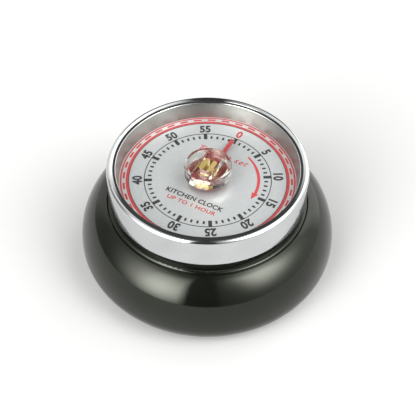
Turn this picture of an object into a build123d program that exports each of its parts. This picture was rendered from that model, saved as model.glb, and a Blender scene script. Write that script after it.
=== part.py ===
from build123d import *
import os
from math import acos, asin, atan2, cos, degrees, hypot, pi, radians, sin, sqrt, tan

# A wind-up kitchen timer. Millimetres, +Z up, origin at the centre of the base, +Y towards the dial's 0 mark.
os.makedirs("parts", exist_ok=True)

# Driving dimensions of the outside
BODY_R = 35.0                # largest radius of the case
BODY_Z = 7.8                 # height of that largest radius
ROUND_TOP = (10.3, 14.3)     # semi-axes of the case's upper curve, radial and vertical
ROUND_LOW = (7.5, 7.4)       # semi-axes of its lower curve
LEDGE_Z = 21.6               # the upper curve ends in a crisp edge at this height, with a flat ledge inside it
NECK_R = 26.3                # straight neck that the bezel is pressed on
NECK_FILLET = 0.7
SHEET = 0.8                  # case sheet thickness
DECK_Z = 28.3                # top of the case's flat deck
DIAL_T = 0.5
DIAL_Z = DECK_Z + DIAL_T     # printed face of the dial
DIAL_R = 25.7
BEZEL_R = 26.85              # outer wall of the bezel
BEZEL_LOW = 25.4             # lower edge of its skirt
BEZEL_T = 0.55
BEZEL_TOP = 34.0
LIP_R = 24.4                 # inner edge of the bezel's lip
LIP_Z = 33.55
WALL_LOW_R = 23.65           # inner ring's radius at the dial
BASE_R = 26.6                # opening in the case's base
KNOB_R = 6.35
KNOB_RIM = 0.95              # wall round the knob's two pockets
KNOB_GRIP = 5.0              # width of the bar between them
KNOB_LOW = DIAL_Z + 2.4
KNOB_TOP = DIAL_Z + 5.5
KNOB_ANGLE = 0.0             # the hand rests on the 0 mark
HAND_Z = (DIAL_Z + 1.3, DIAL_Z + 1.9)
HAND_DISC, HAND_FLARE, HAND_TIP = 5.6, 9.8, 14.6     # radii of its disc, of the flare's end and of its tip
HAND_ARM = 1.1
ARBOR_R = 2.5                # the setting arbor above the front plate
ARBOR_LOW_R = 2.0            # the same arbor between the plates
ARBOR_FLATS = (3.8, 4.3)     # width over the flats that turn the knob, each way
ARBOR_SLOT = 1.05            # width of the split in its end
ARBOR_STEP = 0.02            # the flats begin this far under the knob

# Movement heights
BACK_PLATE = (9.0, 9.8)
FRONT_PLATE = (21.0, 21.8)
PLATE_R = 25.0
MAIN_Z = (10.5, 11.3)
SECOND_Z = (12.4, 12.9)
THIRD_Z = (13.8, 14.3)
ESCAPE_Z = (16.2, 16.7)
STAR_Z = (16.2, 17.0)
SPRING_Z = (15.3, 20.1)
BALANCE_Z = (18.4, 19.2)
BELL_Z = (2.6, 8.0)
RUN = 0.04                   # radial running clearance of a pivot
PIVOT_R = 0.45
STAFF_NOTCH_R = 1.15         # notch in the lever round the balance staff

# Gear train: main wheel and pinions of the first mesh, then the finer train
COARSE, FINE = 0.36, 0.26    # modules
MAIN_TEETH, SECOND_TEETH, THIRD_TEETH, LEAVES = 72, 70, 60, 10
PRESSURE = radians(25)
ADDENDUM, DEDENDUM, BACKLASH = 0.8, 1.1, 0.16     # in modules
SPREAD = 0.03                # extra centre distance of each mesh
ESCAPE_TEETH, ESCAPE_R, ESCAPE_ROOT = 20, 4.5, 3.4
STAR_TEETH, STAR_R, STAR_ROOT = 12, 4.6, 3.7

LOW = (Align.CENTER, Align.CENTER, Align.MIN)


def polar(centre, distance, angle):
    """The point at a distance and an angle in degrees from a centre."""
    return (centre[0] + distance * cos(radians(angle)), centre[1] + distance * sin(radians(angle)))


def bearing(a, b):
    """The direction from a to b, in degrees."""
    return degrees(atan2(b[1] - a[1], b[0] - a[0]))


# Arbors of the movement, seen from above
CENTRE = (0.0, 0.0)
SECOND = polar(CENTRE, COARSE * (MAIN_TEETH + LEAVES) / 2 + SPREAD, 200)
THIRD = polar(SECOND, FINE * (SECOND_TEETH + LEAVES) / 2 + SPREAD, -52)
ESCAPE = polar(THIRD, FINE * (THIRD_TEETH + LEAVES) / 2 + SPREAD, -8)
STRIKE = polar(CENTRE, COARSE * (MAIN_TEETH + LEAVES) / 2 + SPREAD, 62)
PALLET_REACH, PALLET_FORK = 5.6, 6.0
PALLET = polar(ESCAPE, PALLET_REACH, 12)
BALANCE_PIN_R = 1.5
BALANCE = polar(PALLET, PALLET_FORK, 36)
HAMMER = (-2.6, 20.2)
TRIP = (-13.0, 10.6)
PILLARS = [(-17.2, 15.0), (21.4, 6.0), (0.0, -23.0)]
POSTS = [polar(CENTRE, 20.5, a) for a in (90, 205, 335)]
COVER_SCREWS = [polar(CENTRE, 22.4, a) for a in (0, 120, 240)]
MAGNETS = [polar(CENTRE, 12.5, a) for a in (0, 180)]


def rod(centre, radius, low, high):
    """An upright cylinder."""
    return Pos(centre[0], centre[1], low) * Cylinder(radius, high - low, align=LOW)


def tube(centre, outer, inner, low, high):
    return rod(centre, outer, low, high) - rod(centre, inner, low - 1, high + 1)


def block(centre, size, low, high, turn=0.0):
    """An upright box, turned about its own centre."""
    return Pos(centre[0], centre[1], low) * Rot(0, 0, turn) * Box(size[0], size[1], high - low, align=LOW)


def bar(a, b, width, low, high):
    """A flat bar with round ends between two points."""
    middle = ((a[0] + b[0]) / 2, (a[1] + b[1]) / 2)
    flat = SlotCenterToCenter(hypot(b[0] - a[0], b[1] - a[1]), width)
    return Pos(middle[0], middle[1], low) * Rot(0, 0, bearing(a, b)) * extrude(flat, high - low)


def turned(curve):
    """The solid that a closed curve of (radius, height) sweeps round the Z axis."""
    return revolve(Plane.XZ * make_face(curve), Axis.Z)


def outline(points):
    return Polyline(*points, close=True)


# ---- gears

def tooth_half_angle(teeth, module, radius):
    """Half the angle of an involute tooth at a radius; below the base circle the flank is radial."""
    pitch = module * teeth / 2
    base = pitch * cos(PRESSURE)
    at_pitch = pi / (2 * teeth) - BACKLASH * module / (2 * pitch)
    roll = acos(min(1.0, base / radius))
    return at_pitch + tan(PRESSURE) - PRESSURE - (tan(roll) - roll)


def gear(centre, teeth, module, phase, low, high):
    """A spur gear with one tooth centred on phase, in degrees."""
    pitch = module * teeth / 2
    radii = (pitch - DEDENDUM * module, pitch, pitch + ADDENDUM * module)
    halves = [tooth_half_angle(teeth, module, r) for r in radii]
    edges, last = [], None
    for k in range(teeth + 1):
        middle = radians(phase) + 2 * pi * k / teeth
        rise = [(r * cos(middle - h), r * sin(middle - h)) for r, h in zip(radii, halves)]
        fall = [(r * cos(middle + h), r * sin(middle + h)) for r, h in zip(radii, halves)][::-1]
        if last:
            edges.append(Line(last, rise[0]))
        if k < teeth:
            edges += [ThreePointArc(*rise), Line(rise[2], fall[0]), ThreePointArc(*fall)]
            last = fall[2]
    return Pos(centre[0], centre[1], low) * extrude(make_face(Wire(edges)), high - low)


def mesh_phase(a, phase_a, teeth_a, b, teeth_b):
    """The phase, in degrees, that puts gear b in mesh with gear a."""
    direction = bearing(a, b)
    behind = (direction - phase_a) % (360 / teeth_a)
    return direction + 180 + behind * teeth_a / teeth_b + 180 / teeth_b


def star(centre, teeth, tip, root, tip_half, root_half, phase, low, high):
    """A wheel with pointed teeth. The half widths are in degrees."""
    points = []
    for k in range(teeth):
        middle = phase + 360 * k / teeth
        points += [polar(CENTRE, root, middle - root_half), polar(CENTRE, tip, middle - tip_half)]
        points += [polar(CENTRE, tip, middle + tip_half), polar(CENTRE, root, middle + root_half)]
    return Pos(centre[0], centre[1], low) * extrude(make_face(outline(points)), high - low)


def spokes(centre, inner, outer, width, low, high):
    """What is cut from a wheel to leave four spokes."""
    gap = tube(centre, outer, inner, low - 0.5, high + 0.5)
    for turn in (0, 90):
        gap -= block(centre, (3 * outer, width), low - 1, high + 1, turn)
    return gap


# ---- case, bezel, dial and base

def case_shell():
    """The painted body: one pressing with a round belly, a neck and a flat deck under the dial."""
    def skin(inset, deck, base):
        a, b = ROUND_TOP[0] - inset, ROUND_TOP[1] - inset
        c, d = ROUND_LOW[0] - inset, ROUND_LOW[1] - inset
        neck, ledge, bend = NECK_R - inset, LEDGE_Z - inset, NECK_FILLET + inset
        low = EllipticalCenterArc((BODY_R - ROUND_LOW[0], BODY_Z), c, d, 270, arc_size=90)
        rise = degrees(asin((ledge - BODY_Z) / b))
        high = EllipticalCenterArc((BODY_R - ROUND_TOP[0], BODY_Z), a, b, 0, arc_size=rise)
        corner = bend * (1 - sqrt(0.5))
        return [
            Line((0, base), low @ 0), low, high,
            Line(high @ 1, (neck + bend, ledge)),
            ThreePointArc((neck + bend, ledge), (neck + corner, ledge + corner), (neck, ledge + bend)),
            Line((neck, ledge + bend), (neck, deck)),
            Line((neck, deck), (0, deck)), Line((0, deck), (0, base)),
        ]
    outer = turned(Wire(skin(0.0, DECK_Z, BODY_Z - ROUND_LOW[1])))
    inner = turned(Wire(skin(SHEET, DECK_Z - SHEET, BODY_Z - ROUND_LOW[1] + SHEET)))
    shell = outer - inner - rod(CENTRE, BASE_R, -1, 5) - rod(CENTRE, 4.0, DECK_Z - 2, DECK_Z + 1)
    for p in POSTS:
        shell -= rod(p, 1.1, DECK_Z - 2, DECK_Z + 1)
    return shell


def bezel():
    """The chromed ring: a straight skirt, a round shoulder, a crease and a lip that slopes in over the dial."""
    crease = (LIP_R + 0.85, BEZEL_TOP - 0.18)
    shoulder = (BEZEL_R - 0.25, BEZEL_TOP - 0.35)
    curves = [
        Line((BEZEL_R - BEZEL_T, BEZEL_LOW), (BEZEL_R - 0.15, BEZEL_LOW)),
        Line((BEZEL_R - 0.15, BEZEL_LOW), (BEZEL_R, BEZEL_LOW + 0.15)),
        Line((BEZEL_R, BEZEL_LOW + 0.15), (BEZEL_R, BEZEL_TOP - 1.1)),
        ThreePointArc((BEZEL_R, BEZEL_TOP - 1.1), shoulder, (BEZEL_R - 1.0, BEZEL_TOP)),
        Line((BEZEL_R - 1.0, BEZEL_TOP), crease),
        Line(crease, (crease[0] - 0.06, crease[1] - 0.14)),
        Line((crease[0] - 0.06, crease[1] - 0.14), (LIP_R + 0.15, LIP_Z + 0.05)),
        ThreePointArc((LIP_R + 0.15, LIP_Z + 0.05), (LIP_R, LIP_Z - 0.12), (LIP_R + 0.12, LIP_Z - 0.3)),
        Line((LIP_R + 0.12, LIP_Z - 0.3), (BEZEL_R - 1.2, BEZEL_TOP - BEZEL_T)),
        ThreePointArc(
            (BEZEL_R - 1.2, BEZEL_TOP - BEZEL_T), (BEZEL_R - 0.66, BEZEL_TOP - 0.74),
            (BEZEL_R - BEZEL_T, BEZEL_TOP - 1.3)),
        Line((BEZEL_R - BEZEL_T, BEZEL_TOP - 1.3), (BEZEL_R - BEZEL_T, BEZEL_LOW)),
    ]
    return turned(Wire(curves))


def inner_ring():
    """The satin ring between the lip and the dial, leaning in towards the dial."""
    return turned(Wire(outline([
        (WALL_LOW_R, DIAL_Z), (WALL_LOW_R + 0.5, DIAL_Z), (WALL_LOW_R + 0.9, LIP_Z - 1.0),
        (NECK_R - 0.4, LIP_Z - 0.65), (NECK_R - 0.4, LIP_Z - 0.35), (LIP_R + 0.05, LIP_Z - 0.35),
    ]).edges()))


def dial_plate():
    return tube(CENTRE, DIAL_R, 2.8, DECK_Z, DIAL_Z)


def back_cover():
    """Flat cover that snaps into the base, with a rim, magnet pockets and screw holes."""
    cover = rod(CENTRE, BASE_R - 0.1, 0.4, 1.6) + tube(CENTRE, BASE_R - 0.1, BASE_R - 1.3, 1.5, 3.2)
    cover -= tube(CENTRE, 25.9, 24.9, 0.2, 0.9)
    for p in MAGNETS:
        cover -= rod(p, 6.1, 0, 1.0)
        cover += tube(p, 7.0, 6.1, 0.4, 1.6)
    for p in COVER_SCREWS:
        cover += rod(p, 2.0, 1.5, 2.2)
        cover -= rod(p, 0.85, 0, 3)
        cover -= rod(p, 1.7, 0, 0.95)
    return cover


def rubber_ring():
    return tube(CENTRE, 25.85, 24.95, 0.0, 0.9)


def screw(p, head, shank, low, high, head_up, head_t=0.7):
    """A slotted screw along Z between two heights; head_t is inside that span."""
    if head_up:
        solid = rod(p, shank, low, high - head_t + 0.01) + rod(p, head, high - head_t, high)
        return solid - block(p, (3 * head, 0.35), high - 0.3, high + 1, 25)
    solid = rod(p, shank, low + head_t - 0.01, high) + rod(p, head, low, low + head_t)
    return solid - block(p, (3 * head, 0.35), low - 1, low + 0.3, 25)


def cover_bosses():
    """Three brass pillars that the cover's screws bite into, standing off the movement's back plate."""
    return [tube(p, 1.9, 0.7, 2.25, BACK_PLATE[0]) for p in COVER_SCREWS]


# ---- movement frame

def back_plate():
    plate = rod(CENTRE, PLATE_R, *BACK_PLATE)
    plate -= rod(CENTRE, 2.0 + RUN, 8, 10.5)
    for p in (SECOND, THIRD, ESCAPE, STRIKE, PALLET, BALANCE, HAMMER, TRIP):
        plate -= rod(p, PIVOT_R + RUN, 8, 10.5)
    for p in PILLARS + COVER_SCREWS:
        plate -= rod(p, 0.75, 8, 10.5)
    plate -= block(HAMMER_DROP, (6.8, 6.0), 8, 10.5, bearing(CENTRE, HAMMER_DROP))
    plate -= rod(BELL_POST, 0.75, 8, 10.5)
    return plate


def front_plate():
    plate = rod(CENTRE, PLATE_R, *FRONT_PLATE)
    plate -= rod(CENTRE, 2.0 + RUN, 20, 23)
    for p in (SECOND, THIRD, ESCAPE, STRIKE, PALLET, BALANCE, HAMMER, TRIP):
        plate -= rod(p, PIVOT_R + RUN, 20, 23)
    for p in PILLARS + POSTS:
        plate -= rod(p, 0.75, 20, 23)
    # the window over the balance
    plate -= rod(polar(CENTRE, 12.0, bearing(CENTRE, BALANCE) + 45), 3.6, 20, 23)
    plate -= rod(polar(CENTRE, 13.5, 125), 3.6, 20, 23)
    return plate


def pillars():
    return [tube(p, 1.2, 0.6, BACK_PLATE[1], FRONT_PLATE[0]) for p in PILLARS]


def pillar_screws():
    """Six screws: one into each end of each pillar."""
    top = [screw(p, 1.3, 0.6, FRONT_PLATE[0] - 2.2, FRONT_PLATE[1] + 0.7, True) for p in PILLARS]
    return top + [screw(p, 1.3, 0.6, BACK_PLATE[0] - 0.7, BACK_PLATE[1] + 2.2, False) for p in PILLARS]


def deck_posts():
    """Three spacers from the front plate up to the underside of the case's deck."""
    return [tube(p, 1.8, 0.7, FRONT_PLATE[1], DECK_Z - SHEET) for p in POSTS]


def deck_screws():
    """Flush screws through the deck, hidden under the dial."""
    return [screw(p, 1.05, 0.7, FRONT_PLATE[0] - 0.6, DECK_Z - 0.02, True, 0.75) for p in POSTS]


# ---- knob, hand and main arbor

def knob():
    """Clear moulded knob: a round rim, a grip bar across it and a pocket each side of the bar."""
    body = rod(CENTRE, KNOB_R, KNOB_LOW, KNOB_TOP)
    body = fillet(body.edges().filter_by(GeomType.CIRCLE).sort_by(Axis.Z)[-1], 0.45)
    body -= rod(CENTRE, KNOB_R - KNOB_RIM, KNOB_LOW + 0.9, KNOB_TOP + 1)
    grip = block(CENTRE, (KNOB_GRIP, 3 * KNOB_R), KNOB_LOW + 0.5, KNOB_TOP - 0.15)
    grip = grip & rod(CENTRE, KNOB_R - 0.5, KNOB_LOW, KNOB_TOP)
    body += grip
    socket = block(CENTRE, (3.84, 4.34), KNOB_LOW - 1, KNOB_TOP + 1) & rod(CENTRE, ARBOR_R + 0.03, 0, 50)
    return Rot(0, 0, KNOB_ANGLE) * (body - socket)


def pointer():
    """The red hand: a disc under the knob that flares into a straight arm with a square tip."""
    low, high = HAND_Z
    half = HAND_ARM / 2
    meet = (HAND_DISC * cos(radians(42)), HAND_DISC * sin(radians(42)))
    right = Spline([meet, (1.7, 7.75), (half, HAND_FLARE)], tangents=[(-0.85, 1.0), (0, 1)])
    left = Spline([(-half, HAND_FLARE), (-1.7, 7.75), (-meet[0], meet[1])], tangents=[(0, -1), (-0.85, -1.0)])
    arm = Polyline((half, HAND_FLARE), (half, HAND_TIP), (-half, HAND_TIP), (-half, HAND_FLARE))
    back = ThreePointArc((-meet[0], meet[1]), (0, -HAND_DISC), meet)
    hand = Pos(0, 0, low) * extrude(make_face(Wire([right, *arm.edges(), left, back])), high - low)
    hub = tube(CENTRE, 3.3, ARBOR_R + 0.04, low - 0.7, high)
    return Rot(0, 0, KNOB_ANGLE) * (hand + hub - rod(CENTRE, ARBOR_R + 0.04, 0, 60))


def main_arbor():
    """Brass arbor from the back plate up into the knob, split at the top, with two flats for the knob."""
    flats_low = KNOB_LOW - ARBOR_STEP
    body = rod(CENTRE, ARBOR_LOW_R, BACK_PLATE[0] - 0.4, FRONT_PLATE[1] + 0.6)
    end = block(CENTRE, ARBOR_FLATS, flats_low, KNOB_TOP - 0.35) + rod(CENTRE, ARBOR_R, 0, flats_low)
    body += rod(CENTRE, ARBOR_R, FRONT_PLATE[1] + 0.4, KNOB_TOP) & end
    body -= block(CENTRE, (ARBOR_SLOT, 6), DIAL_Z + 2.2, 60)
    return Rot(0, 0, KNOB_ANGLE) * body


def main_wheel():
    wheel = gear(CENTRE, MAIN_TEETH, COARSE, MAIN_PHASE, *MAIN_Z)
    wheel -= spokes(CENTRE, 6.6, 11.2, 2.4, *MAIN_Z)
    return wheel - rod(CENTRE, ARBOR_LOW_R, 0, 30)


def ratchet_wheel():
    """Saw-toothed wheel fixed to the arbor, above the main wheel."""
    points = []
    for k in range(16):
        points += [polar(CENTRE, 5.0, 22.5 * k), polar(CENTRE, 4.1, 22.5 * k + 2.0)]
    face = make_face(outline(points)) - Circle(ARBOR_LOW_R)
    return Pos(0, 0, MAIN_Z[1] + 0.05) * extrude(face, 0.6)


def click():
    """Sprung pawl on the main wheel that drives it as the arbor runs down and slips as it is wound."""
    pivot, nose = polar(CENTRE, 7.7, 60), polar(CENTRE, 4.95, 28)
    pawl = bar(pivot, nose, 1.1, MAIN_Z[1] + 0.05, MAIN_Z[1] + 0.6)
    pawl -= tube(CENTRE, 5.06, 0.5, 0, 30)
    return pawl + rod(pivot, 0.5, MAIN_Z[1], MAIN_Z[1] + 0.85)


def trip_cam():
    """Disc on the arbor with one notch, which tells the strike when zero is reached."""
    disc = tube(CENTRE, 4.6, 2.0, MAIN_Z[1] + 0.9, MAIN_Z[1] + 1.5) - rod(CENTRE, 2.0, 0, 30)
    notch = bearing(CENTRE, TRIP) + 12
    return disc - block(polar(CENTRE, 4.6, notch), (1.6, 1.1), 11, 14, notch)


def mainspring():
    """Spiral of flat steel from beside the arbor's hub out to a post on the front plate."""
    turns, inner, outer, thick = 5, 2.55, 8.4, 0.28
    count = turns * 12
    def side(offset):
        return [
            polar(CENTRE, inner + (outer - inner) * k / count + offset, 360 * turns * k / count)
            for k in range(count + 1)
        ]
    a, b = side(0), side(thick)
    edges = [Spline(a), Line(a[-1], b[-1]), Spline(b[::-1]), Line(b[0], a[0])]
    return Pos(0, 0, SPRING_Z[0]) * extrude(make_face(Wire(edges)), SPRING_Z[1] - SPRING_Z[0])


def spring_hub():
    return tube(CENTRE, 2.5, 2.0, SPRING_Z[0] - 0.3, SPRING_Z[1] + 0.2)


def spring_post():
    """The post that holds the mainspring's outer end."""
    return rod((9.35, 0), 0.6, SPRING_Z[0] - 0.2, FRONT_PLATE[0])


# ---- train

def arbor(centre, radius, low, high):
    """A wheel's arbor with a thinner pivot at each end, which runs in the plates."""
    body = rod(centre, radius, low, high)
    return body + rod(centre, PIVOT_R, BACK_PLATE[0] - 0.1, FRONT_PLATE[1] + 0.1)


def wheel_and_pinion(centre, module, phase, leaves_z, wheel):
    """An arbor with its pinion cut on it, and the wheel that is pressed on it."""
    shaft = arbor(centre, 0.8, BACK_PLATE[1] + 0.15, FRONT_PLATE[0] - 0.15)
    pinion = gear(centre, LEAVES, module, phase, *leaves_z) + shaft
    return pinion, wheel - rod(centre, 0.8, 0, 40)


def second_wheel():
    wheel = gear(SECOND, SECOND_TEETH, FINE, SECOND_PHASE, *SECOND_Z)
    wheel -= spokes(SECOND, 2.4, 7.7, 1.4, *SECOND_Z)
    return wheel_and_pinion(SECOND, COARSE, SECOND_LEAF, (10.2, 11.7), wheel)


def third_wheel():
    wheel = gear(THIRD, THIRD_TEETH, FINE, THIRD_PHASE, *THIRD_Z)
    wheel -= spokes(THIRD, 2.2, 6.5, 1.2, *THIRD_Z)
    return wheel_and_pinion(THIRD, FINE, THIRD_LEAF, (12.1, 13.3), wheel)


def escape_wheel():
    wheel = star(ESCAPE, ESCAPE_TEETH, ESCAPE_R, ESCAPE_ROOT, 0.7, 4.0, ESCAPE_PHASE, *ESCAPE_Z)
    wheel -= spokes(ESCAPE, 1.4, 2.8, 0.8, *ESCAPE_Z)
    return wheel_and_pinion(ESCAPE, FINE, ESCAPE_LEAF, (13.5, 14.8), wheel)


def strike_wheel():
    wheel = star(STRIKE, STAR_TEETH, STAR_R, STAR_ROOT, 1.5, 8.0, STAR_PHASE, *STAR_Z)
    return wheel_and_pinion(STRIKE, COARSE, STRIKE_LEAF, (10.2, 11.7), wheel)


def pallet_lever():
    """Pin-pallet lever: two arms with pins round the escape wheel, and a fork for the balance's pin."""
    level = (17.1, 17.7)
    pins = [polar(ESCAPE, PIN_ORBIT, bearing(ESCAPE, PALLET) + s * PIN_SPREAD) for s in (-1, 1)]
    lever = rod(PALLET, 1.0, *level)
    for p in pins:
        lever += bar(PALLET, p, 0.9, *level)
    lever += bar(PALLET, polar(PALLET, PALLET_FORK - 0.3, bearing(PALLET, BALANCE)), 1.5, *level)
    slot = bar(
        polar(PALLET, PALLET_FORK - BALANCE_PIN_R - 0.6, bearing(PALLET, BALANCE)),
        polar(PALLET, PALLET_FORK + 2, bearing(PALLET, BALANCE)), 2 * 0.46, 10, 20)
    lever -= slot
    lever -= rod(BALANCE, STAFF_NOTCH_R, 10, 20)
    return lever + arbor(PALLET, 0.7, BACK_PLATE[1] + 0.15, FRONT_PLATE[0] - 0.15), [
        rod(p, 0.15, ESCAPE_Z[0] - 0.3, level[0]) for p in pins]


def balance():
    """Balance wheel with two spokes, its staff, and the impulse pin that the fork holds."""
    rim = tube(BALANCE, 5.0, 4.0, *BALANCE_Z) + tube(BALANCE, 1.2, 0.6, *BALANCE_Z)
    towards = bearing(BALANCE, PALLET)
    for turn in (towards, towards + 90):
        rim += block(BALANCE, (8.6, 1.2), BALANCE_Z[0], BALANCE_Z[1], turn)
    staff = arbor(BALANCE, 0.6, BACK_PLATE[1] + 0.15, FRONT_PLATE[0] - 0.15)
    pin = rod(polar(BALANCE, BALANCE_PIN_R, towards), 0.3, 16.9, BALANCE_Z[0])
    return rim - rod(BALANCE, 0.6, 0, 40), staff, pin


# ---- strike

def hammer():
    """Hammer arm on its arbor: a tail beside the star wheel, a shank past the back plate and a head."""
    level = (16.3, 16.9)
    tip = HAMMER_TIP
    arm = rod(HAMMER, 1.2, *level) + bar(HAMMER, tip, 1.4, *level)
    arm += bar(HAMMER, TAIL, 1.0, *level)
    arm += arbor(HAMMER, 0.7, BACK_PLATE[1] + 0.15, FRONT_PLATE[0] - 0.15)
    shank = rod(tip, 0.55, 6.6, level[0])
    head = rod(tip, 1.25, 3.6, 6.6)
    head = fillet(head.edges().filter_by(GeomType.CIRCLE), 0.3)
    return arm, shank, head


def trip_lever():
    """Lever whose nose feels for the notch in the trip cam."""
    level = (MAIN_Z[1] + 0.9, MAIN_Z[1] + 1.5)
    nose = polar(CENTRE, 5.3, bearing(CENTRE, TRIP) - 6)
    return bar(TRIP, nose, 1.2, *level) + arbor(TRIP, 0.7, BACK_PLATE[1] + 0.15, FRONT_PLATE[0] - 0.15)


def bell():
    """Steel gong: a shallow cup with its mouth down, hung under the back plate on one post."""
    cup = turned(Wire([
        Line((0, BELL_Z[1]), (0, BELL_Z[1] - 0.7)),
        Line((0, BELL_Z[1] - 0.7), (16.2, BELL_Z[1] - 0.7)),
        ThreePointArc((16.2, BELL_Z[1] - 0.7), (17.9, BELL_Z[1] - 1.4), (18.6, BELL_Z[1] - 3.1)),
        Line((18.6, BELL_Z[1] - 3.1), (18.8, BELL_Z[0])),
        Line((18.8, BELL_Z[0]), (19.5, BELL_Z[0])),
        Line((19.5, BELL_Z[0]), (19.3, BELL_Z[1] - 3.1)),
        ThreePointArc((19.3, BELL_Z[1] - 3.1), (18.4, BELL_Z[1] - 0.9), (16.2, BELL_Z[1])),
        Line((16.2, BELL_Z[1]), (0, BELL_Z[1])),
    ]))
    return cup - rod(BELL_POST, 0.75, 0, 20)


def bell_post():
    return tube(BELL_POST, 1.8, 0.7, BELL_Z[1], BACK_PLATE[0])


def bell_screw():
    return screw(BELL_POST, 1.6, 0.7, BELL_Z[1] - 1.5, BACK_PLATE[1] - 0.1, False, 0.79)


# Phases that put every mesh in step at rest
MAIN_PHASE = bearing(CENTRE, SECOND)
SECOND_LEAF = mesh_phase(CENTRE, MAIN_PHASE, MAIN_TEETH, SECOND, LEAVES)
SECOND_PHASE = bearing(SECOND, THIRD)
THIRD_LEAF = mesh_phase(SECOND, SECOND_PHASE, SECOND_TEETH, THIRD, LEAVES)
THIRD_PHASE = bearing(THIRD, ESCAPE)
ESCAPE_LEAF = mesh_phase(THIRD, THIRD_PHASE, THIRD_TEETH, ESCAPE, LEAVES)
STRIKE_LEAF = mesh_phase(CENTRE, MAIN_PHASE, MAIN_TEETH, STRIKE, LEAVES)
# the pallet pins stand two and a half teeth apart, a quarter of a tooth from the nearest tips
PIN_SPREAD = 1.25 * 360 / ESCAPE_TEETH
PIN_ORBIT = ESCAPE_R + 0.30
ESCAPE_PHASE = bearing(ESCAPE, PALLET) + PIN_SPREAD - 0.25 * 360 / ESCAPE_TEETH
HAMMER_TIP = (6.6, 21.9)
HAMMER_DROP = (7.0, 21.8)
TAIL = polar(STRIKE, STAR_R + 0.75, bearing(STRIKE, HAMMER) + 8)
STAR_PHASE = bearing(STRIKE, HAMMER) + 8 + 15
BELL_POST = (0.0, -6.0)


def save(name, shape):
    """Writes one node. A list becomes one node of separate solids."""
    solids = [s for part in (shape if isinstance(shape, list) else [shape]) for s in part.solids()]
    export_step(Compound(children=solids) if len(solids) > 1 else solids[0], f"parts/{name}.step")


def main():
    save("case_shell", case_shell())
    save("bezel", bezel())
    save("inner_ring", inner_ring())
    save("dial_plate", dial_plate())
    save("back_cover", back_cover())
    save("rubber_ring", rubber_ring())
    save("magnets", [rod(p, 6.0, 0.15, 0.95) for p in MAGNETS])
    save("cover_screws", [screw(p, 1.6, 0.7, 0.25, 4.5, False, 0.69) for p in COVER_SCREWS])
    save("cover_bosses", cover_bosses())
    save("back_plate", back_plate())
    save("front_plate", front_plate())
    save("pillars", pillars())
    save("pillar_screws", pillar_screws())
    save("deck_posts", deck_posts())
    save("deck_screws", deck_screws())
    save("knob", knob())
    save("pointer", pointer())
    save("main_arbor", main_arbor())
    save("main_wheel", main_wheel())
    save("ratchet_wheel", ratchet_wheel())
    save("click", click())
    save("trip_cam", trip_cam())
    save("spring_hub", spring_hub())
    save("mainspring", mainspring())
    save("spring_post", spring_post())
    for name, pair in (
        ("second", second_wheel()), ("third", third_wheel()),
        ("escape", escape_wheel()), ("strike", strike_wheel()),
    ):
        save(f"{name}_pinion", pair[0])
        save(f"{name}_wheel", pair[1])
    lever, pins = pallet_lever()
    save("pallet_lever", lever)
    save("pallet_pins", pins)
    for name, shape in zip(("balance_wheel", "balance_staff", "impulse_pin"), balance()):
        save(name, shape)
    for name, shape in zip(("hammer_arm", "hammer_shank", "hammer_head"), hammer()):
        save(name, shape)
    save("trip_lever", trip_lever())
    save("bell", bell())
    save("bell_post", bell_post())
    save("bell_screw", bell_screw())


main()
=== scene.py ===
# The looks of a wind-up kitchen timer: its materials, the print on its dial, the floor, the light
# and the camera.
# Blender works in metres. Names that end in _MM are millimetres.
from math import cos, pi, radians, sin

import bmesh
import bpy
from mathutils import Euler, Matrix, Vector


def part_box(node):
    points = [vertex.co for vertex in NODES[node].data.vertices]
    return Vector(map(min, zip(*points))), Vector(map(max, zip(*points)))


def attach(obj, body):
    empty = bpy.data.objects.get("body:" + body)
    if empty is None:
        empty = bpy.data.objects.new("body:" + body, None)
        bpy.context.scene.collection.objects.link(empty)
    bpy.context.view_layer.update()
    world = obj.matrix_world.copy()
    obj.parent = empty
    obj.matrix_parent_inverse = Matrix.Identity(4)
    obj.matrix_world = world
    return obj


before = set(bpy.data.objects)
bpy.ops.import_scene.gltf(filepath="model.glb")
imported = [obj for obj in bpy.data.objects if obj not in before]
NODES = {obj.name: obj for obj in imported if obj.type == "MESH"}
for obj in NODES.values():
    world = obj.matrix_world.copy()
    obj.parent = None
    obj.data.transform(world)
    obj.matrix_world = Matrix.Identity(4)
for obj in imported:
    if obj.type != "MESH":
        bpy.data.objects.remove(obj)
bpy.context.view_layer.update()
MM = 0.001

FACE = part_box("dial_plate")[1].z              # height of the printed face

# The dial's print, as radii
INK_MM = 0.02                                 # how proud the ink stands
MINUTE_CIRCLE_MM = (16.86, 17.1)
FIVE_MARK_MM = (14.9, 17.0, 0.97)             # inner and outer radius, and width
MINUTE_MARK_MM = (15.1, 16.1, 0.56)
NUMBER_MM = (18.85, 2.42)                     # radius of its middle, and height
BLACK_LINE_MM = (21.0, 21.18)
RED_BAND_MM = (21.18, 21.88)
RED_EDGE_MM = (23.02, 23.45)
DASH_MM = (22.2, 22.74)
DASHES, DASH_DEG = 36, 5.6
ARROW_MM = (13.6, 0.8)                        # radius of its middle, and width
ARROW_DEG = (25.9, 86.0, 95.4)                # start, where the head begins, and tip, clockwise from 0
ARROW_BARBS_MM = (12.65, 14.55)


# ---------------------------------------------------------------- small mesh tools

def point(radius_mm, clockwise_deg, z=0.0):
    """A point on the dial, by its radius and its angle clockwise from the 0 mark."""
    a = radians(90 - clockwise_deg)
    return Vector((radius_mm * cos(a) * MM, radius_mm * sin(a) * MM, z))


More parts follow.
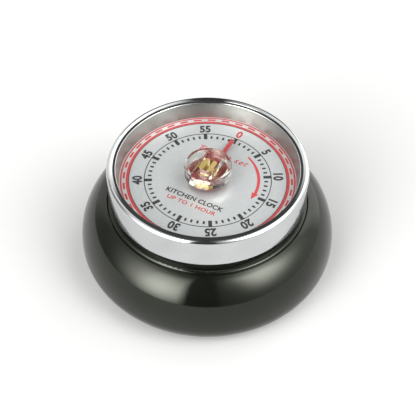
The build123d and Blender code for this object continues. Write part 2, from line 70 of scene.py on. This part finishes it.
def prism(bm, loop):
    """Adds a flat shape of ink: a loop of points, raised from just under the dial's face to just over it."""
    low, high = FACE - 0.004 * MM, FACE + INK_MM * MM
    bottom = [bm.verts.new((p.x, p.y, low)) for p in loop]
    top = [bm.verts.new((p.x, p.y, high)) for p in loop]
    bm.faces.new(top)
    bm.faces.new(bottom[::-1])
    for i in range(len(loop)):
        j = (i + 1) % len(loop)
        bm.faces.new((bottom[i], bottom[j], top[j], top[i]))


def sector(bm, inner, outer, start, end, step=1.0):
    """A stretch of ring between two angles."""
    count = max(1, round((end - start) / step))
    angles = [start + (end - start) * k / count for k in range(count + 1)]
    for a, b in zip(angles, angles[1:]):
        prism(bm, [point(inner, a), point(outer, a), point(outer, b), point(inner, b)])


def mark(bm, inner, outer, width, clockwise_deg):
    """A straight-sided mark on a radius."""
    turn = Matrix.Rotation(-radians(clockwise_deg), 3, "Z")
    w = width / 2
    corners = [(-w, inner), (-w, outer), (w, outer), (w, inner)]
    prism(bm, [turn @ Vector((x * MM, y * MM, 0)) for x, y in corners])


def mesh_object(name, bm, material):
    bmesh.ops.recalc_face_normals(bm, faces=bm.faces)
    mesh = bpy.data.meshes.new(name)
    bm.to_mesh(mesh)
    bm.free()
    mesh.materials.append(material)
    obj = bpy.data.objects.new(name, mesh)
    bpy.context.scene.collection.objects.link(obj)
    return obj


def lettering(bm, text, height_mm, centre_mm, turn_deg=0.0, width=1.0, bold_mm=0.0, shear=0.0, spacing=1.0):
    """Adds a line of letters to a mesh, middle on a point of the dial."""
    curve = bpy.data.curves.new("letters", "FONT")
    curve.body, curve.align_x, curve.align_y = text, "CENTER", "CENTER"
    curve.space_character, curve.shear, curve.offset = spacing, shear, bold_mm * MM
    curve.size = height_mm * MM / 0.70
    curve.resolution_u = 6
    curve.extrude = INK_MM * MM / 2
    obj = bpy.data.objects.new("letters", curve)
    bpy.context.scene.collection.objects.link(obj)
    bpy.context.view_layer.update()
    mesh = bpy.data.meshes.new_from_object(obj.evaluated_get(bpy.context.evaluated_depsgraph_get()))
    lows = Vector(min(v.co[i] for v in mesh.vertices) for i in range(3))
    highs = Vector(max(v.co[i] for v in mesh.vertices) for i in range(3))
    middle = (lows + highs) / 2
    place = (
        Matrix.Translation((centre_mm[0] * MM, centre_mm[1] * MM, FACE + INK_MM * MM / 2))
        @ Matrix.Rotation(radians(turn_deg), 4, "Z")
        @ Matrix.Diagonal((width, 1, 1, 1))
        @ Matrix.Translation(-middle)
    )
    mesh.transform(place)
    bm.from_mesh(mesh)
    bpy.data.objects.remove(obj)
    bpy.data.curves.remove(curve)
    bpy.data.meshes.remove(mesh)


# ---------------------------------------------------------------- materials

def material(name):
    """A new node material: its tree, its shader and a coordinate node in the row's own frame."""
    mat = bpy.data.materials.new(name)
    mat.use_nodes = True
    tree = mat.node_tree
    shader = tree.nodes["Principled BSDF"]
    where = tree.nodes.new("ShaderNodeTexCoord")
    return mat, tree, shader, where.outputs["Object"]


def noise(tree, where, scale, detail=3.0, rough=0.5, stretch=None):
    """Noise of a scale in waves per metre, stretched along an axis if asked."""
    node = tree.nodes.new("ShaderNodeTexNoise")
    node.inputs["Scale"].default_value = scale
    node.inputs["Detail"].default_value = detail
    node.inputs["Roughness"].default_value = rough
    if stretch:
        mapping = tree.nodes.new("ShaderNodeMapping")
        mapping.inputs["Scale"].default_value = stretch
        tree.links.new(where, mapping.inputs["Vector"])
        where = mapping.outputs["Vector"]
    tree.links.new(where, node.inputs["Vector"])
    return node.outputs["Fac"]


def ramp(tree, value, stops):
    """A colour ramp. Each stop is a place and a grey or a colour."""
    node = tree.nodes.new("ShaderNodeValToRGB")
    elements = node.color_ramp.elements
    while len(elements) < len(stops):
        elements.new(0.5)
    for element, (place, colour) in zip(elements, stops):
        element.position = place
        element.color = (*colour, 1) if isinstance(colour, tuple) else (colour, colour, colour, 1)
    tree.links.new(value, node.inputs["Fac"])
    return node.outputs["Color"]


def bump(tree, shader, value, height_mm, socket="Normal"):
    node = tree.nodes.new("ShaderNodeBump")
    node.inputs["Strength"].default_value = 1.0
    node.inputs["Distance"].default_value = height_mm * MM
    tree.links.new(value, node.inputs["Height"])
    tree.links.new(node.outputs["Normal"], shader.inputs[socket])
    return node


def radial(tree, where):
    """Distance from the timer's axis, in metres."""
    flat = tree.nodes.new("ShaderNodeVectorMath")
    flat.operation = "MULTIPLY"
    flat.inputs[1].default_value = (1, 1, 0)
    tree.links.new(where, flat.inputs[0])
    length = tree.nodes.new("ShaderNodeVectorMath")
    length.operation = "LENGTH"
    tree.links.new(flat.outputs["Vector"], length.inputs[0])
    return length.outputs["Value"]


def turned_lines(tree, where, per_metre, centre=(0.0, 0.0)):
    """Fine rings round an upright axis, like a lathe's or a spun brush's."""
    shift = tree.nodes.new("ShaderNodeVectorMath")
    shift.operation = "SUBTRACT"
    shift.inputs[1].default_value = (*centre, 0)
    tree.links.new(where, shift.inputs[0])
    distance = radial(tree, shift.outputs["Vector"])
    split = tree.nodes.new("ShaderNodeSeparateXYZ")
    tree.links.new(where, split.inputs[0])
    joined = tree.nodes.new("ShaderNodeCombineXYZ")
    tree.links.new(distance, joined.inputs["X"])
    tree.links.new(split.outputs["Z"], joined.inputs["Y"])
    return noise(tree, joined.outputs["Vector"], per_metre, 2.0)


def metal(name, colour, dark, rough, lines=6000.0, groove_mm=0.002, grain=None):
    """A plain metal with turned or rolled lines, a little tarnish and uneven polish."""
    mat, tree, shader, where = material(name)
    shader.inputs["Metallic"].default_value = 1.0
    patches = noise(tree, where, 260.0, 4.0)
    tree.links.new(ramp(tree, patches, [(0.35, dark), (0.7, colour)]), shader.inputs["Base Color"])
    fine = noise(tree, where, lines, 2.0, 0.5, grain) if grain else turned_lines(tree, where, lines)
    tree.links.new(ramp(tree, fine, [(0.3, rough * 0.8), (0.7, rough * 1.25)]), shader.inputs["Roughness"])
    bump(tree, shader, fine, groove_mm)
    return mat


def plastic(name, colour, dark, rough, grain_mm=0.01, per_metre=2500.0, ior=1.5):
    """Moulded plastic or rubber with a fine grain."""
    mat, tree, shader, where = material(name)
    shader.inputs["IOR"].default_value = ior
    patches = noise(tree, where, 180.0, 3.0)
    tree.links.new(ramp(tree, patches, [(0.35, dark), (0.7, colour)]), shader.inputs["Base Color"])
    grain = noise(tree, where, per_metre, 3.0)
    uneven = ramp(tree, grain, [(0.3, rough * 0.85), (0.7, rough * 1.15)])
    tree.links.new(uneven, shader.inputs["Roughness"])
    bump(tree, shader, grain, grain_mm)
    return mat


def enamel():
    """Black stoving enamel: a deep gloss with a faint orange peel, on a warm near-black."""
    mat, tree, shader, where = material("black_enamel")
    patches = noise(tree, where, 90.0, 3.0)
    tree.links.new(ramp(tree, patches, [(0.3, (0.0022, 0.0027, 0.0018)), (0.7, (0.0036, 0.0042, 0.003))]),
                   shader.inputs["Base Color"])
    haze = noise(tree, where, 420.0, 5.0)
    tree.links.new(ramp(tree, haze, [(0.35, 0.06), (0.7, 0.11)]), shader.inputs["Roughness"])
    shader.inputs["IOR"].default_value = 1.46
    # The specular tint is painted light: it gives every reflection on the enamel a green-yellow cast that
    # stands in for the colour of a greenish surrounding.
    shader.inputs["Specular Tint"].default_value = (0.96, 1.0, 0.87, 1)
    peel = noise(tree, where, 700.0, 2.0)
    bump(tree, shader, peel, 0.006)
    return mat


def chrome():
    """Bright plating over a drawn ring: nearly a mirror, with a soft waviness and fine polishing lines."""
    mat, tree, shader, where = material("chrome")
    shader.inputs["Metallic"].default_value = 1.0
    patches = noise(tree, where, 120.0, 3.0)
    tree.links.new(ramp(tree, patches, [(0.3, (0.54, 0.555, 0.56)), (0.7, (0.60, 0.615, 0.62))]),
                   shader.inputs["Base Color"])
    lines = turned_lines(tree, where, 9000.0)
    tree.links.new(ramp(tree, lines, [(0.3, 0.045), (0.7, 0.09)]), shader.inputs["Roughness"])
    wave = noise(tree, where, 260.0, 2.0)
    bump(tree, shader, wave, 0.006)
    return mat


def satin_ring():
    """The spun aluminium wall inside the bezel."""
    mat, tree, shader, where = material("satin_ring")
    shader.inputs["Metallic"].default_value = 1.0
    patches = noise(tree, where, 140.0, 3.0)
    tree.links.new(ramp(tree, patches, [(0.3, (0.28, 0.28, 0.26)), (0.7, (0.34, 0.34, 0.32))]),
                   shader.inputs["Base Color"])
    lines = turned_lines(tree, where, 7000.0)
    tree.links.new(ramp(tree, lines, [(0.3, 0.3), (0.7, 0.42)]), shader.inputs["Roughness"])
    bump(tree, shader, lines, 0.003)
    return mat


def dial_face():
    """Silver-white lacquer on a metal dial, with the faintest grain."""
    mat, tree, shader, where = material("dial_lacquer")
    shader.inputs["Metallic"].default_value = 0.7
    shader.inputs["Coat Weight"].default_value = 0.25
    shader.inputs["Coat Roughness"].default_value = 0.3
    patches = noise(tree, where, 900.0, 4.0, 0.6)
    tree.links.new(ramp(tree, patches, [(0.3, (0.50, 0.52, 0.525)), (0.7, (0.54, 0.56, 0.565))]),
                   shader.inputs["Base Color"])
    grain = noise(tree, where, 5000.0, 2.0)
    tree.links.new(ramp(tree, grain, [(0.3, 0.36), (0.7, 0.5)]), shader.inputs["Roughness"])
    bump(tree, shader, grain, 0.002)
    return mat


def ink(name, colour, worn):
    """Printed ink, a little uneven at its edges and in its cover."""
    mat, tree, shader, where = material(name)
    cover = noise(tree, where, 3500.0, 4.0, 0.6)
    tree.links.new(ramp(tree, cover, [(0.25, worn), (0.5, colour)]), shader.inputs["Base Color"])
    tree.links.new(ramp(tree, cover, [(0.3, 0.5), (0.7, 0.38)]), shader.inputs["Roughness"])
    bump(tree, shader, cover, 0.002)
    return mat


def acrylic():
    """Clear moulded acrylic, with a few flow lines and a slightly worn grip."""
    mat, tree, shader, where = material("clear_acrylic")
    shader.inputs["Transmission Weight"].default_value = 1.0
    shader.inputs["IOR"].default_value = 1.42
    tint = noise(tree, where, 300.0, 3.0)
    tree.links.new(ramp(tree, tint, [(0.3, (0.86, 0.865, 0.79)), (0.7, (0.91, 0.91, 0.85))]),
                   shader.inputs["Base Color"])
    tree.links.new(ramp(tree, tint, [(0.4, 0.09), (0.75, 0.15)]), shader.inputs["Roughness"])
    flow = noise(tree, where, 500.0, 2.0, 0.5, (1, 0.35, 1))
    bump(tree, shader, flow, 0.003)
    return mat


def hand_paint():
    """Red lacquer on the thin hand."""
    mat, tree, shader, where = material("red_hand")
    patches = noise(tree, where, 800.0, 3.0)
    tree.links.new(ramp(tree, patches, [(0.3, (0.22, 0.032, 0.035)), (0.7, (0.27, 0.045, 0.047))]),
                   shader.inputs["Base Color"])
    tree.links.new(ramp(tree, patches, [(0.3, 0.28), (0.7, 0.38)]), shader.inputs["Roughness"])
    bump(tree, shader, noise(tree, where, 2500.0, 2.0), 0.004)
    return mat


enamel_black = enamel()
plating = chrome()
clear = acrylic()
brass = metal("turned_brass", (0.56, 0.42, 0.16), (0.42, 0.30, 0.10), 0.27)
milled_brass = metal("milled_brass", (0.72, 0.55, 0.23), (0.58, 0.43, 0.16), 0.48)
plate_brass = metal("rolled_brass", (0.82, 0.60, 0.25), (0.66, 0.45, 0.16), 0.3, 3500.0, 0.003, (1, 18, 1))
steel = metal("ground_steel", (0.58, 0.57, 0.55), (0.42, 0.41, 0.40), 0.28)
screw_steel = metal("zinc_screw", (0.62, 0.63, 0.66), (0.45, 0.46, 0.5), 0.3, 8000.0, 0.004)
spring_steel = metal("blued_spring", (0.14, 0.19, 0.36), (0.09, 0.11, 0.22), 0.25, 3000.0, 0.002, (1, 1, 12))
bell_steel = metal("plated_bell", (0.70, 0.69, 0.66), (0.55, 0.54, 0.52), 0.16)
magnet_nickel = metal("nickel_magnet", (0.52, 0.50, 0.46), (0.38, 0.36, 0.33), 0.25, 4000.0, 0.004, (1, 1, 1))
base_plastic = plastic("black_base", (0.022, 0.022, 0.022), (0.014, 0.014, 0.014), 0.5)
rubber = plastic("black_rubber", (0.018, 0.018, 0.018), (0.011, 0.011, 0.011), 0.75, 0.02, 3500.0)

FINISH = {
    "case_shell": enamel_black, "bezel": plating, "inner_ring": satin_ring(), "dial_plate": dial_face(),
    "back_cover": base_plastic, "rubber_ring": rubber, "magnets": magnet_nickel,
    "knob": clear, "pointer": hand_paint(), "main_arbor": milled_brass,
    "back_plate": plate_brass, "front_plate": plate_brass, "bell": bell_steel, "mainspring": spring_steel,
}
SCREWS = ("cover_screws", "pillar_screws", "deck_screws", "bell_screw")
STEELS = (
    "ratchet_wheel", "click", "second_pinion", "third_pinion", "escape_pinion", "strike_pinion", "strike_wheel",
    "pallet_pins", "balance_staff", "impulse_pin", "hammer_arm", "hammer_shank", "trip_lever",
)
for name, node in NODES.items():
    finish = FINISH.get(name) or (screw_steel if name in SCREWS else steel if name in STEELS else brass)
    node.data.materials.clear()
    node.data.materials.append(finish)


# ---------------------------------------------------------------- the dial's print

def black_print():
    bm = bmesh.new()
    sector(bm, *MINUTE_CIRCLE_MM, 0, 360)
    sector(bm, *BLACK_LINE_MM, 0, 360)
    for minute in range(60):
        mark(bm, *(MINUTE_MARK_MM if minute % 5 else FIVE_MARK_MM), 6 * minute)
    for minute in range(5, 60, 5):
        number(bm, minute)
    lettering(bm, "KITCHEN CLOCK", 1.42, (0.4, -8.2), width=1.0, bold_mm=0.06, spacing=1.05)
    return bm


def number(bm, minute):
    """A number that stands on the minute circle, its top outwards."""
    at = point(NUMBER_MM[0], 6 * minute) / MM
    lettering(bm, str(minute), NUMBER_MM[1], at, -6 * minute, width=0.88, bold_mm=0.14, spacing=1.04)


def red_print():
    bm = bmesh.new()
    sector(bm, *RED_BAND_MM, 0, 360)
    sector(bm, *RED_EDGE_MM, 0, 360)
    for k in range(DASHES):
        middle = 360 / DASHES * (k + 0.5)
        sector(bm, *DASH_MM, middle - DASH_DEG / 2, middle + DASH_DEG / 2)
    number(bm, 0)
    arrow(bm)
    lettering(bm, "Turn to set", 1.85, (-0.1, 9.6), width=1.1, bold_mm=0.02, shear=0.35, spacing=1.1)
    lettering(bm, "UP TO 1 HOUR", 1.2, (0.6, -10.4), width=1.12, bold_mm=0.04, spacing=1.1)
    return bm


def arrow(bm):
    """A curved arrow that shows which way the timer is set."""
    radius, width = ARROW_MM
    start, neck, tip = ARROW_DEG
    count = 30
    for k in range(count):
        a, b = (start + (neck - start) * s / count for s in (k, k + 1))
        wa, wb = (width * (0.55 + 0.45 * min(1, 2.5 * s / count)) / 2 for s in (k, k + 1))
        inside, outside = (radius - wa, radius - wb), (radius + wa, radius + wb)
        prism(bm, [point(inside[0], a), point(outside[0], a), point(outside[1], b), point(inside[1], b)])
    prism(bm, [point(ARROW_BARBS_MM[0], neck - 1.2), point(radius, neck), point(ARROW_BARBS_MM[1], neck - 0.6),
               point(radius - 0.15, tip)])


for name, bm, mat in (
    ("dial_print_black", black_print(), ink("black_ink", (0.014, 0.014, 0.014), (0.05, 0.05, 0.05))),
    ("dial_print_red", red_print(), ink("red_ink", (0.31, 0.03, 0.034), (0.36, 0.08, 0.08))),
):
    piece = mesh_object(name, bm, mat)
    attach(piece, "case")


# ---------------------------------------------------------------- floor, lights and camera

FLOOR_RADIUS, FLOOR_DROP = 3.0, 0.0002        # metres; the drop keeps it clear of the base


def floor():
    bm = bmesh.new()
    bmesh.ops.create_circle(bm, cap_ends=True, segments=96, radius=FLOOR_RADIUS)
    mat, tree, shader, where = material("pale_floor")
    patches = noise(tree, where, 6.0)
    tree.links.new(ramp(tree, patches, [(0.3, (0.42, 0.42, 0.42)), (0.7, (0.44, 0.44, 0.44))]),
                   shader.inputs["Base Color"])
    shader.inputs["Roughness"].default_value = 0.9
    shader.inputs["Specular IOR Level"].default_value = 0.1
    obj = mesh_object("floor", bm, mat)
    obj.location.z = -FLOOR_DROP


CAMERA_AZIMUTH, CAMERA_LENS_MM, CAMERA_ROLL = 27.3, 95.27, -0.66
CAMERA_PLACE = Vector((0.0924, -0.1787, 0.2434))
CAMERA_PITCH = 48.38                          # degrees below the horizon


def camera():
    data = bpy.data.cameras.new("camera")
    data.lens, data.sensor_width, data.clip_start = CAMERA_LENS_MM, 36.0, 0.01
    obj = bpy.data.objects.new("camera", data)
    bpy.context.scene.collection.objects.link(obj)
    obj.location = CAMERA_PLACE
    level = Euler((radians(90 - CAMERA_PITCH), 0, radians(CAMERA_AZIMUTH)))
    obj.rotation_euler = (level.to_matrix() @ Matrix.Rotation(radians(-CAMERA_ROLL), 3, "Z")).to_euler()
    bpy.context.scene.camera = obj


# The light tent round the timer. Azimuths are from the camera's own, in degrees. Radiances are plain numbers.
FILL = (                                      # (azimuth, radiance)
    (-180, 0.04), (-164, 0.04), (-154, 1.3), (-132, 1.2), (-118, 0.45), (-100, 0.35), (-84, 0.3), (-20, 0.2),
    (-17, 0.03), (8, 0.03), (12, 0.3), (30, 0.6), (60, 1.2), (90, 1.3), (112, 1.2), (125, 2.6), (154, 2.6),
    (164, 0.04), (180, 0.04),
)
FILL_UPWARD = ((0, 0.7), (45, 1.0), (62, 0.9), (75, 0.3), (90, 0.1))      # (elevation, share)
GLOWS = (                                     # (azimuth, elevation, radiance, how tight)
    (-39, 28, 13.0, 8.0), (-70, 60, 4.2, 14.0), (67, 54, 10.0, 13.0), (50, 33, 2.8, 25.0),
)
GLOW_ACROSS = (                               # (azimuth, share)
    (-180, 0.0), (-110, 0.2), (-88, 0.45), (-64, 0.7), (-52, 0.95), (-40, 1.0), (-24, 0.85), (-16, 0.0),
    (12, 0.0), (16, 0.1), (28, 0.3), (42, 0.8), (52, 1.0), (76, 1.0), (88, 0.7), (104, 0.3), (125, 0.0),
    (180, 0.0),
)
GLOW_UPWARD = (                               # (elevation, share)
    (0, 0.8), (10, 1.0), (58, 1.0), (66, 0.7), (74, 0.2), (82, 0.02), (90, 0.0),
)
FILL_PEAK, AMBIENT = 3.0, 0.04


def studio():
    """Plain soft light from all round, set in the world: a fill by azimuth, and a few round glows."""
    sky = bpy.data.worlds.new("studio")
    sky.use_nodes = True
    tree = sky.node_tree
    turn = tree.nodes.new("ShaderNodeVectorRotate")
    turn.rotation_type = "Z_AXIS"
    turn.inputs["Angle"].default_value = -radians(CAMERA_AZIMUTH)
    tree.links.new(tree.nodes.new("ShaderNodeTexCoord").outputs["Generated"], turn.inputs["Vector"])
    split = tree.nodes.new("ShaderNodeSeparateXYZ")
    tree.links.new(turn.outputs["Vector"], split.inputs[0])

    def math(operation, *values):
        node = tree.nodes.new("ShaderNodeMath")
        node.operation = operation
        for socket, value in zip(node.inputs, values):
            if isinstance(value, (int, float)):
                socket.default_value = value
            else:
                tree.links.new(value, socket)
        return node.outputs[0]

    def glow(azimuth, elevation, radiance, tight):
        node = tree.nodes.new("ShaderNodeVectorMath")
        node.operation = "DOT_PRODUCT"
        a, e = radians(azimuth), radians(elevation)
        node.inputs[1].default_value = (sin(a) * cos(e), -cos(a) * cos(e), sin(e))
        tree.links.new(turn.outputs["Vector"], node.inputs[0])
        facing = math("MAXIMUM", node.outputs["Value"], 0.0)
        return math("MULTIPLY", math("POWER", facing, tight), radiance)

    back = math("MULTIPLY", split.outputs["Y"], -1.0)
    azimuth = math("MULTIPLY_ADD", math("ARCTAN2", split.outputs["X"], back), 1 / (2 * pi), 0.5)
    elevation = math("MULTIPLY", math("ARCSINE", split.outputs["Z"]), 2 / pi)
    across = ramp(tree, azimuth, [(a / 360 + 0.5, value / FILL_PEAK) for a, value in FILL])
    upward = ramp(tree, elevation, [(e / 90, value) for e, value in FILL_UPWARD])
    gate = math(
        "MULTIPLY", ramp(tree, azimuth, [(a / 360 + 0.5, share) for a, share in GLOW_ACROSS]),
        ramp(tree, elevation, [(e / 90, share) for e, share in GLOW_UPWARD]))
    strength = math("MULTIPLY_ADD", math("MULTIPLY", across, upward), FILL_PEAK, AMBIENT)
    for place in GLOWS:
        strength = math("MULTIPLY_ADD", glow(*place), gate, strength)
    background = tree.nodes["Background"]
    background.inputs["Color"].default_value = (1.0, 1.0, 0.99, 1)
    tree.links.new(strength, background.inputs["Strength"])
    bpy.context.scene.world = sky


floor()
studio()
camera()
bpy.context.scene.view_settings.view_transform = "Standard"
